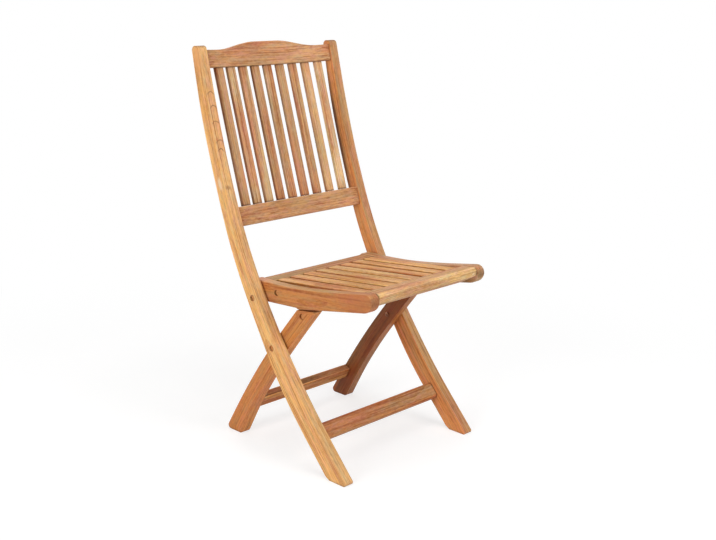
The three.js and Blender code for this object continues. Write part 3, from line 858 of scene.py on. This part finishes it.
def make_posts():
    # A knot is its centre, its size and the depth of its tone. A patch has its tone first.
    # Centres and sizes follow the board's own grain: along it, then across it both ways.
    knots = [
        ((0.7930, -0.012, -0.2080), (0.008, 0.02, 0.0085), 0.6),
        ((0.7630, -0.012, -0.2070), (0.008, 0.02, 0.0085), 0.7),
        ((0.7300, -0.012, -0.2095), (0.007, 0.02, 0.0090), 0.6),
        ((0.6880, -0.012, -0.2080), (0.008, 0.02, 0.0100), 0.6),
        ((0.6700, -0.012, -0.2100), (0.007, 0.02, 0.0075), 0.85),
    ]
    patches = [
        ((222, 150, 96), (0.872, -0.004, -0.222), (0.045, 0.02, 0.012), 0.5),
        ((240, 214, 176), (0.599, 0.0, -0.222), (0.020, 0.008, 0.012), 0.75),
        ((150, 96, 52), (0.592, -0.014, -0.214), (0.006, 0.008, 0.010), 0.7),
        ((90, 56, 34), (0.024, -0.012, -0.2106), (0.006, 0.010, 0.007), 0.8),
        ((188, 104, 66), (0.697, -0.012, -0.2150), (0.007, 0.012, 0.005), 0.7),
    ]
    # A painted shadow of the last back slat, along the rear edge of the left post's inner face
    painted_slat_shadow = ((92, 50, 27), (0.68, 0.015, 0.197), (0.20, 0.014, 0.012), 0.85)
    right = teak(
        "teak right post", (220, 167, 114), (228, 170, 108), (-1.7, 0.4, 0.9), knots, patches,
        rings=0.3, bands=0.6, streaks=0.6, blush_share=0.2, olive_share=0.15)
    left = teak(
        "teak left post", (192, 142, 96), (214, 138, 80), (1.7, 0.4, 0.9),
        patches=[painted_slat_shadow], rings=0.3, bands=0.6, streaks=0.45, blush_share=0.45)
    board("post_right", POST_EASE, "bent", right, has_bores=True, shape=trim_heel)
    board("post_left", POST_EASE, "bent", left, has_bores=True, shape=trim_heel)


def make_rear_legs():
    right = teak(
        "teak right rear leg", (214, 138, 72), (193, 119, 62), (-2.9, 1.3, 0.2),
        rings=0.3, bands=0.6, streaks=0.4, blush_share=0.5)
    # The left leg's darker side tone is partly the wood's own tone and partly painted shade from
    # the seat above
    left = teak(
        "teak left rear leg", (176, 108, 60), (136, 70, 29), (2.9, 1.3, 0.2),
        blush=(168, 92, 48), rings=0.3, bands=0.6, streaks=0.4, blush_share=0.5)
    board("rear_leg_right", LEG_EASE, "bent", right, has_bores=True)
    board("rear_leg_left", LEG_EASE, "bent", left, has_bores=True)


def make_side_rails():
    red_nose = ((168, 92, 54), (0.03, 0.0, 0.0), (0.10, 0.05, 0.03), 0.5)
    right = teak(
        "teak right side rail", (198, 142, 88), (187, 118, 64), (-3.3, 0.6, 2.2),
        patches=[red_nose], rings=0.3, bands=0.5, streaks=0.35, blush_share=0.6)
    left = teak(
        "teak left side rail", (182, 138, 95), (187, 139, 103), (3.3, 0.6, 2.2),
        rings=0.3, bands=0.5, streaks=0.35, blush_share=0.6)
    board("seat_side_rail_right", RAIL_EASE, "free", right, has_bores=True, shape=plane_nose)
    board("seat_side_rail_left", RAIL_EASE, "free", left, has_bores=True, shape=plane_nose)


def make_back_rails():
    crest = teak(
        "teak crest rail", (199, 144, 103), (199, 144, 103), (5.1, 0.2, 0.3),
        rings=0.3, bands=0.6, streaks=0.5, blush_share=0.5)
    board("crest_rail", BACK_RAIL_EASE, "cross", crest)
    lower = teak(
        "teak lower back rail", (197, 142, 100), (197, 142, 100), (6.4, 0.8, 1.4),
        rings=0.3, bands=0.6, streaks=0.45, blush_share=0.5)
    board("lower_back_rail", BACK_RAIL_EASE, "cross", lower)


# Tones of the slats, as front or top face and as side face
RED_BROWN = ((186, 138, 98), (182, 136, 100))
LIGHT_BROWN = ((202, 160, 118), (184, 134, 94))
DEEP_BROWN = ((185, 138, 99), (160, 112, 76))
WARM_BROWN = ((198, 149, 106), (202, 158, 122))
PALE_TAN = ((213, 165, 121), (189, 143, 104))
PALE_SAND = ((221, 179, 137), (218, 184, 140))
AMBER = ((235, 180, 118), (188, 132, 76))
ROSY_AMBER = ((236, 181, 124), (188, 132, 76))
PALE_AMBER = ((246, 191, 134), (204, 150, 94))

# The tone of each slat, from the sitter's right to the left
BACK_SLAT_TONES = (
    RED_BROWN, LIGHT_BROWN, LIGHT_BROWN, DEEP_BROWN, WARM_BROWN,
    RED_BROWN, WARM_BROWN, PALE_TAN, PALE_SAND)
SEAT_SLAT_TONES = (
    ROSY_AMBER, ROSY_AMBER, AMBER, PALE_AMBER, PALE_AMBER, AMBER, ROSY_AMBER, AMBER)


def make_back_slats():
    for i, node in enumerate(BACK_SLATS):
        start = (0.73 * i, 2.1 + 0.31 * i, 0.4)
        wood, side = BACK_SLAT_TONES[i]
        material = teak(
            f"teak back slat {i + 1}", wood, side, start,
            rings=0.35, bands=0.7, streaks=0.5, blush_share=0.5, joint_shade=0.7)
        board(node, SLAT_EASE, "standing", material)


def make_seat_boards():
    for i, node in enumerate(SEAT_SLATS):
        start = (0.57 * i, 4.1 + 0.23 * i, 0.7)
        wood, side = SEAT_SLAT_TONES[i]
        material = teak(
            f"teak seat slat {i + 1}", wood, side, start, blush=(222, 150, 112),
            rings=0.25, bands=0.55, streaks=0.35, blush_share=0.55, olive_share=0.12,
            joint_shade=0.6)
        board(node, SEAT_SLAT_EASE, "lying", material)
    dowel = ((238, 210, 168), (0.155, 0.4185, -0.277), (0.0045, 0.0045, 0.01), 0.9)
    front = teak(
        "teak seat front rail", (250, 190, 136), (212, 167, 121), (7.7, 0.5, 0.1),
        patches=[dowel], blush=(232, 178, 140), rings=0.25, bands=0.45, streaks=0.2,
        blush_share=0.7, olive_share=0.1, joint_shade=0.6)
    board("seat_front_rail", CROSS_RAIL_EASE, "cross", front)
    rear = teak(
        "teak seat rear rail", (190, 142, 96), (186, 142, 94), (8.3, 0.9, 0.6),
        rings=0.25, bands=0.5, streaks=0.35, blush_share=0.4, joint_shade=0.6)
    board("seat_rear_rail", CROSS_RAIL_EASE, "cross", rear)


def make_stretchers():
    front = teak(
        "teak front stretcher", (201, 133, 82), (194, 158, 122), (9.1, 0.7, 0.8),
        rings=0.3, bands=0.6, streaks=0.5, blush_share=0.6, joint_shade=0.6)
    board("front_stretcher", STRETCHER_EASE, "cross", front)
    # The dark side tone on the rear stretcher's top and bottom faces is painted shade from the
    # seat above
    rear = teak(
        "teak rear stretcher", (240, 170, 108), (96, 52, 30), (9.9, 0.3, 0.5),
        rings=0.3, bands=0.6, streaks=0.5, blush_share=0.6, joint_shade=0.6)
    board("rear_stretcher", STRETCHER_EASE, "cross", rear)


def turn(profile, place, side):
    """A turned piece around X. Its profile gives radius and distance from the chair's middle."""
    bm = bmesh.new()
    y, z = place
    verts = [bm.verts.new((side * x, y, z + radius)) for radius, x in profile]
    edges = [bm.edges.new(pair) for pair in zip(verts, verts[1:])]
    bmesh.ops.spin(
        bm, geom=verts + edges, cent=(0, y, z), axis=(1, 0, 0), angle=2 * math.pi,
        steps=TURN_STEPS, use_merge=True)
    bmesh.ops.remove_doubles(bm, verts=bm.verts, dist=WELD)
    bmesh.ops.recalc_face_normals(bm, faces=bm.faces)
    return bm


def turned_node(node):
    """The side sign, the axis place, the radius and the reach along X of a turned CAD node."""
    low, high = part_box(node)
    side = -1 if low[0] < 0 else 1
    inner, outer = sorted((abs(low[0]), abs(high[0])))
    return side, side_place(node), (high[2] - low[2]) / 2, inner, outer


def crowned(radius, rim, crown):
    """Points from a flat rim in to a low crown on the axis."""
    shares = [1 - i / CROWN_STEPS for i in range(1, CROWN_STEPS + 1)]
    return [(radius * share, rim + crown * (1 - share ** 2)) for share in shares]


def make_plugs(wood):
    """Wooden plugs, sunk in their pockets, with a small chamfer and a low crown."""
    for node in frame["nodes"]:
        if not node.startswith("plug_"):
            continue
        side, place, radius, inner, outer = turned_node(node)
        top = outer + CAD_PLUG_SUNK - PLUG_SUNK
        flat = radius - PLUG_CHAMFER
        profile = [(0, inner), (radius, inner), (radius, top - PLUG_CHAMFER), (flat, top)]
        profile += crowned(flat, top, PLUG_CROWN)
        finish_piece(f"{node}_end_grain", turn(profile, place, side), wood, [node])


def bolt_head(radius, outer):
    """The profile of a bolt's flat head, from the end of its shank to the axis."""
    seat = outer - HEAD_THICKNESS
    return [(SHANK_RADIUS, seat), (radius, seat), (radius, outer), (0, outer)]


def make_bolts(steel, brown_steel):
    """Pivot bolts with flat heads. The crossing bolts end in a low dome with a round recess."""
    for hand in HANDS:
        node = f"bolt_seat_{hand}"
        side, place, radius, inner, outer = turned_node(node)
        profile = [(0, inner), (SHANK_RADIUS, inner)] + bolt_head(radius, outer)
        bm = turn(profile, place, side)
        round_over(bm, sharp_edges(bm), METAL_EASE, RIM_SEGMENTS)
        finish_piece(f"{node}_turned", bm, steel, [node])

        node = f"bolt_crossing_{hand}"
        side, place, radius, inner, outer = turned_node(node)
        bottom = inner + RECESS_DEPTH
        back = inner + DOME_THICKNESS
        profile = [(0, bottom), (RECESS_RADIUS, bottom), (RECESS_RADIUS, inner + RECESS_LIP)]
        profile += [(out * DOME_RADIUS, inner + rise * DOME_RISE) for out, rise in DOME_POINTS]
        profile += [(DOME_RADIUS, inner + DOME_RISE), (DOME_RADIUS, back), (SHANK_RADIUS, back)]
        profile += bolt_head(radius, outer)
        finish_piece(f"{node}_turned", turn(profile, place, side), brown_steel, [node])


def make_washers(steel):
    """Flat washers between the posts and the boards beside them."""
    for node in frame["nodes"]:
        if not node.startswith("washer_"):
            continue
        side, place, radius, inner, outer = turned_node(node)
        profile = [(WASHER_BORE, inner), (radius, inner), (radius, outer)]
        profile += [(WASHER_BORE, outer), (WASHER_BORE, inner)]
        bm = turn(profile, place, side)
        round_over(bm, sharp_edges(bm), WASHER_EASE, RIM_SEGMENTS)
        finish_piece(f"{node}_turned", bm, steel, [node])


def make_links(steel):
    """The flat links inside the side rails, and the pins that they swing on."""
    for hand in HANDS:
        node = f"link_{hand}"
        bm = bare_copy(node)
        round_over(bm, sharp_edges(bm), LINK_EASE, RIM_SEGMENTS)
        finish_piece(f"{node}_eased", bm, steel, [node])
        for node in (f"link_seat_pin_{hand}", f"link_leg_pin_{hand}"):
            side, place, radius, inner, outer = turned_node(node)
            neck = inner + PIN_HEAD
            rim = inner + PIN_CROWN
            profile = [(0, outer), (PIN_RADIUS, outer), (PIN_RADIUS, neck), (radius, neck)]
            profile += [(radius, rim)] + crowned(radius, rim, -PIN_CROWN)
            finish_piece(f"{node}_turned", turn(profile, place, side), steel, [node])


def make_hardware():
    steel = metal("dull zinc steel", (176, 172, 166), (132, 126, 118), 0.35, 0.55)
    brown_steel = metal("brown bolt steel", (164, 112, 86), (98, 60, 40), 0.32, 0.5)
    make_plugs(plug_wood())
    make_bolts(steel, brown_steel)
    make_washers(steel)
    make_links(steel)


def make_lamps():
    for name, (place, size, power) in LAMPS.items():
        lamp = bpy.data.lights.new(name, "AREA")
        lamp.size = size
        lamp.energy = power
        light = bpy.data.objects.new(name, lamp)
        light.location = place
        line = LAMP_TARGET - Vector(place)
        light.rotation_euler = line.to_track_quat("-Z", "Y").to_euler()
        bpy.context.scene.collection.objects.link(light)


def seen_directly(graph):
    """1 for rays that show the surface itself: from the camera, or in a reflection or glass."""
    rays = graph.add("ShaderNodeLightPath").outputs
    seen = graph.math("MAXIMUM", rays["Is Camera Ray"], rays["Is Transmission Ray"])
    return graph.math("MAXIMUM", seen, rays["Is Glossy Ray"])


def blend(graph, factor, first, second):
    """Blends two shaders, and returns the blended one."""
    inputs = {0: factor, 1: first.outputs[0], 2: second.outputs[0]}
    return graph.add("ShaderNodeMixShader", inputs)


def make_world():
    """Soft light from all sides. Seen directly, the world is plain white."""
    world = bpy.data.worlds.new("studio")
    world.use_nodes = True
    world.node_tree.nodes.clear()
    graph = Graph(world.node_tree)
    fill = graph.add("ShaderNodeBackground", {"Color": WHITE, "Strength": SKY_STRENGTH})
    white = graph.add("ShaderNodeBackground", {"Color": WHITE, "Strength": 1.0})
    surface = blend(graph, seen_directly(graph), fill, white)
    graph.add("ShaderNodeOutputWorld", {"Surface": surface.outputs[0]})
    bpy.context.scene.world = world


def make_floor():
    """A pale floor that lights the chair from below and takes its shadow."""
    bm = bmesh.new()
    bmesh.ops.create_grid(bm, x_segments=1, y_segments=1, size=FLOOR_SIZE)
    mesh = bpy.data.meshes.new("floor")
    bm.to_mesh(mesh)
    bm.free()
    floor = bpy.data.objects.new("floor", mesh)
    bpy.context.scene.collection.objects.link(floor)
    material = bpy.data.materials.new("floor")
    material.use_nodes = True
    material.node_tree.nodes.clear()
    graph = Graph(material.node_tree)
    bounce = graph.add("ShaderNodeBsdfDiffuse", {"Color": FLOOR_BOUNCE})
    paint = graph.add("ShaderNodeBsdfDiffuse", {"Color": FLOOR_PAINT})
    glow = graph.add("ShaderNodeEmission", {"Color": WHITE, "Strength": FLOOR_GLOW})
    lit = graph.add("ShaderNodeAddShader", {0: paint.outputs[0], 1: glow.outputs[0]})
    white = graph.add("ShaderNodeEmission", {"Color": WHITE, "Strength": 1.0})
    place = graph.add("ShaderNodeTexCoord").outputs["Object"]
    away = graph.ramp(graph.vector("LENGTH", place), FLOOR_NEAR, FLOOR_FAR)
    seen = blend(graph, away, lit, white)
    surface = blend(graph, seen_directly(graph), bounce, seen)
    graph.add("ShaderNodeOutputMaterial", {"Surface": surface.outputs[0]})
    mesh.materials.append(material)


make_camera()
make_world()
make_lamps()
make_floor()
make_posts()
make_rear_legs()
make_side_rails()
make_back_rails()
make_back_slats()
make_seat_boards()
make_stretchers()
make_hardware()

bpy.context.scene.view_settings.view_transform = "Standard"
